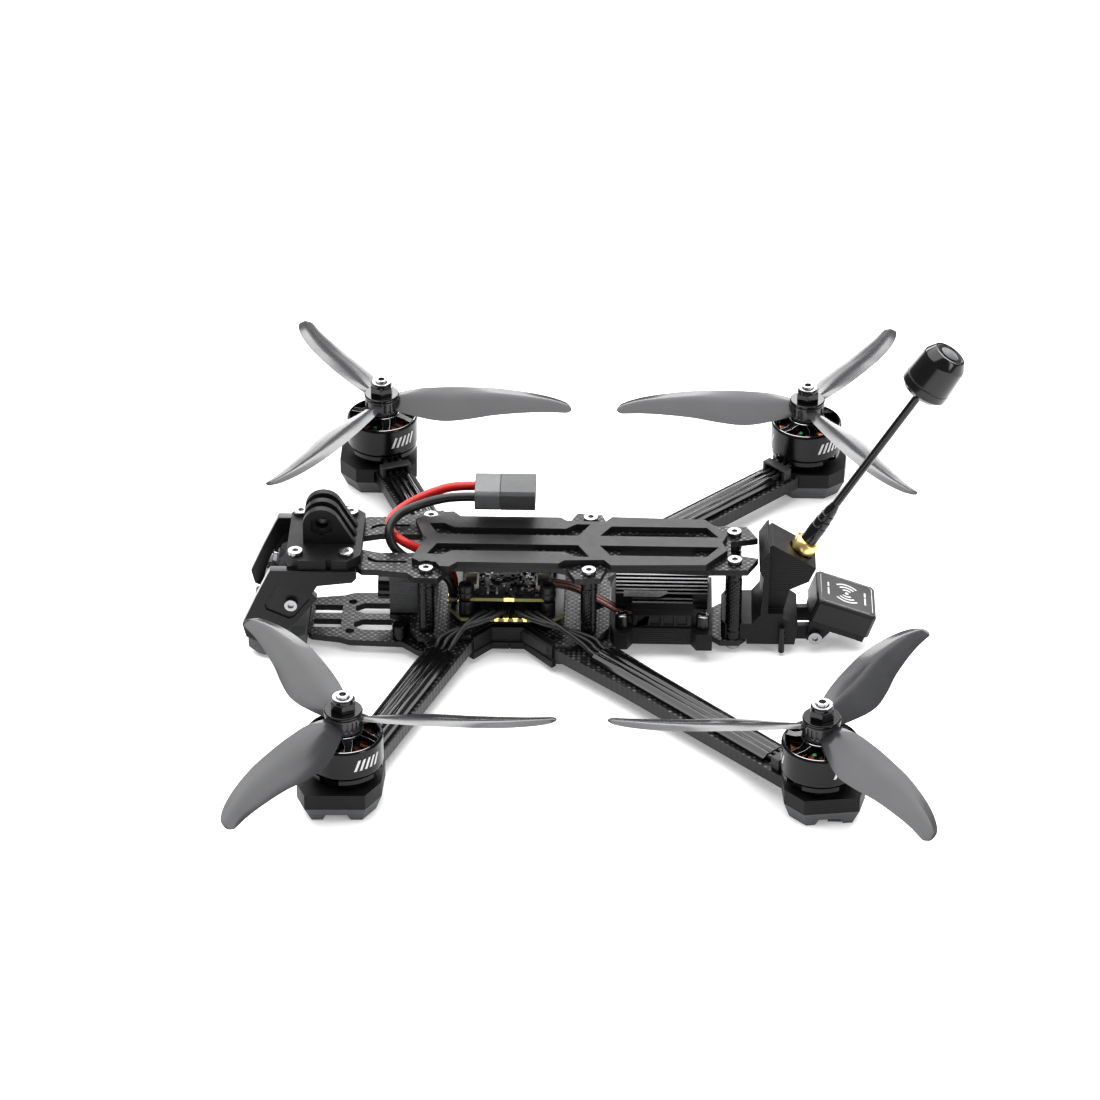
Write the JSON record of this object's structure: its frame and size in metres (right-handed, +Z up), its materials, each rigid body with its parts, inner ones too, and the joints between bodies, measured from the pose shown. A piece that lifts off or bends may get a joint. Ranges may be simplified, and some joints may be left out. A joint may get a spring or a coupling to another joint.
{
  "type": "camera quadcopter drone",
  "caption": "Carbon-fibre camera quadcopter with swept arms, three-blade propellers, tilting nose camera, action-camera mount, mushroom antenna and tilting positioning module.",
  "frame": {"origin": "on the ground plane, midway between the four motor axes", "axes": "+Z up, nose towards -Y, left side towards +X"},
  "size_m": [0.3616, 0.2673, 0.1274],
  "materials": {
    "carbon": "woven carbon-fibre plate with a satin clear face",
    "soft_black": "black flexible printed part with fine layer lines",
    "soft_grey": "grey flexible printed part with fine layer lines",
    "cover_gloss": "glossy black moulded cover",
    "anodised_black": "black anodised aluminium",
    "screw_steel": "steel screws and nuts",
    "machined": "bare machined aluminium edges",
    "heatsink": "grey aluminium heatsink",
    "copper": "enamelled copper windings",
    "laminated_steel": "stacked stator laminations",
    "brass": "gold-plated brass socket",
    "board": "circuit board with chips and connectors",
    "black_plastic": "black moulded plastic",
    "grey_plastic": "light grey moulded plastic",
    "lens_glass": "dark coated camera lens",
    "prop_smoke": "smoky grey moulded propeller",
    "wire_black": "black silicone wire",
    "wire_red": "red silicone wire"
  },
  "bodies": {
    "root": {"action_camera_mount": "soft_black", "antenna_cap": "black_plastic", "antenna_socket": "brass", "antenna_stem": "black_plastic", "arm_end_guards": "soft_black", "arm_wire_covers": "cover_gloss", "battery_pad": "soft_black", "battery_wire_black": "wire_black", "battery_wire_red": "wire_red", "board_screws": "screw_steel", "bottom_plate": "carbon", "camera_plate_inserts": "black_plastic", "camera_plates": "machined", "capacitor": "black_plastic", "capacitor_holder": "soft_grey", "flight_controller": "board", "frame_screws": "screw_steel", "front_arms": "carbon", "gps_pivot_bolt": "screw_steel", "landing_feet": "soft_grey", "mid_plate": "carbon", "motor_bases": "anodised_black", "motor_bearings": "screw_steel", "motor_screws": "screw_steel", "motor_stators": "laminated_steel", "motor_windings": "copper", "motor_wire_guards": "soft_grey", "motor_wires": "wire_black", "nose_bumper": "soft_grey", "plug_body": "black_plastic", "plug_cover": "grey_plastic", "rear_arms": "carbon", "rear_mount": "soft_black", "receiver_antennas": "black_plastic", "side_bumpers": "soft_black", "speed_controller": "board", "stack_grommets": "soft_black", "standoffs": "anodised_black", "top_plate": "carbon", "vtx_heatsink": "heatsink", "vtx_module": "black_plastic", "vtx_tray": "soft_black"},
    "flying_camera": {"fpv_camera_case": "black_plastic", "fpv_camera_lens": "lens_glass", "camera_pivot_screws": "screw_steel"},
    "gps_mount": {"gps_case": "black_plastic", "gps_bracket": "soft_black"},
    "boot_button": {"boot_button": "black_plastic"},
    "rotor_front_left": {"motor_bell_front_left": "anodised_black", "propeller_front_left": "prop_smoke", "prop_nut_front_left": "anodised_black"},
    "rotor_front_right": {"motor_bell_front_right": "anodised_black", "propeller_front_right": "prop_smoke", "prop_nut_front_right": "anodised_black"},
    "rotor_rear_left": {"motor_bell_rear_left": "anodised_black", "propeller_rear_left": "prop_smoke", "prop_nut_rear_left": "anodised_black"},
    "rotor_rear_right": {"motor_bell_rear_right": "anodised_black", "propeller_rear_right": "prop_smoke", "prop_nut_rear_right": "anodised_black"}
  },
  "joints": [
    {"name": "front_left_spin", "type": "hinge", "parent": "root", "child": "rotor_front_left", "pos_m": [0.11268, -0.08496, 0.03], "axis": [0, 0, 1], "continuous": true},
    {"name": "front_right_spin", "type": "hinge", "parent": "root", "child": "rotor_front_right", "pos_m": [-0.11268, -0.08496, 0.03], "axis": [0, 0, 1], "continuous": true},
    {"name": "rear_left_spin", "type": "hinge", "parent": "root", "child": "rotor_rear_left", "pos_m": [0.11268, 0.08496, 0.03], "axis": [0, 0, 1], "continuous": true},
    {"name": "rear_right_spin", "type": "hinge", "parent": "root", "child": "rotor_rear_right", "pos_m": [-0.11268, 0.08496, 0.03], "axis": [0, 0, 1], "continuous": true},
    {"name": "camera_tilt", "type": "hinge", "parent": "root", "child": "flying_camera", "pos_m": [0, -0.1112, 0.0245], "axis": [-1, 0, 0], "range_deg": [-20, 20]},
    {"name": "gps_tilt", "type": "hinge", "parent": "root", "child": "gps_mount", "pos_m": [0, 0.086, 0.0069], "axis": [1, 0, 0], "range_deg": [-8, 20]},
    {"name": "boot_button_press", "type": "slide", "parent": "root", "child": "boot_button", "axis": [0, 0, -1], "range_m": [0, 0.00025], "stiffness_N_per_m": 150}
  ]
}
